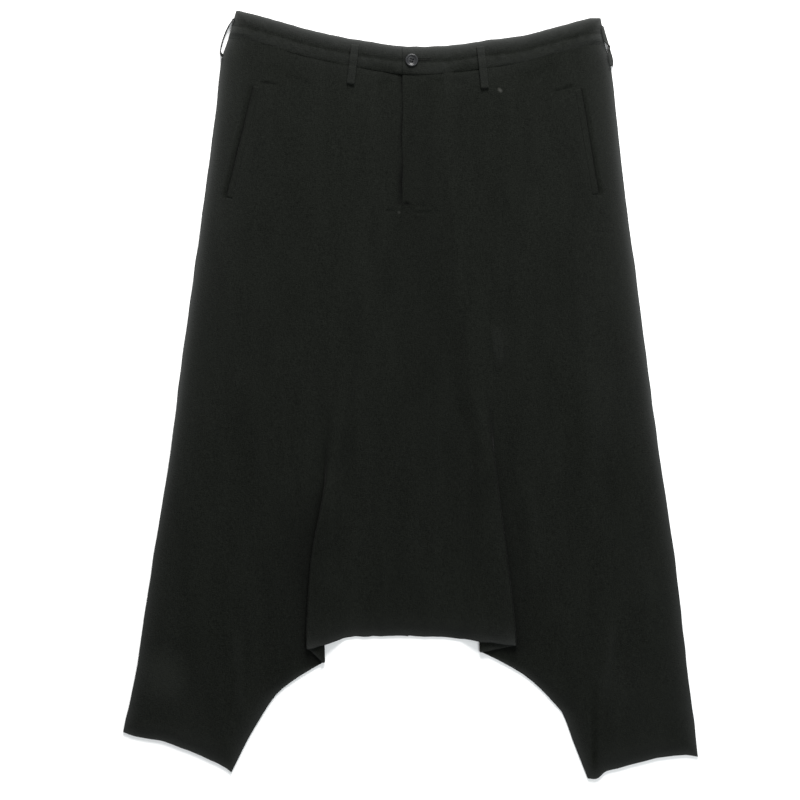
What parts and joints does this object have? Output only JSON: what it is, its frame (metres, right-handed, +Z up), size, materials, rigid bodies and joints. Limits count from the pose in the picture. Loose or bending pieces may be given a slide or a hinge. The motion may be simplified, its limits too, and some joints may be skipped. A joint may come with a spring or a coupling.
{
  "type": "harem pants laid flat",
  "caption": "Drop-crotch trousers laid flat, with a two-channel waistband, buttoned fly, belt loops, slanted pockets and legs tucked under the crotch",
  "frame": {"origin": "centre of the garment's footprint on the surface that it lies on", "axes": "+X to the viewer's right, +Y up to the waist, +Z up from the surface through the back to the front"},
  "size_m": [0.6715, 0.8976, 0.0148],
  "materials": {
    "cloth": "matt black fine wool-like weave",
    "button": "polished dark grey four-hole button"
  },
  "bodies": {
    "root": {"front_left": "cloth", "front_right": "cloth", "back_left": "cloth", "back_right": "cloth", "waistband_left": "cloth", "waistband_right": "cloth", "waistband_back": "cloth", "fly_underlap": "cloth", "pocket_welt_left": "cloth", "pocket_welt_right": "cloth", "belt_loop_front_left": "cloth", "belt_loop_front_right": "cloth", "belt_loop_side_left": "cloth", "belt_loop_side_right": "cloth", "button": "button"}
  },
  "joints": []
}
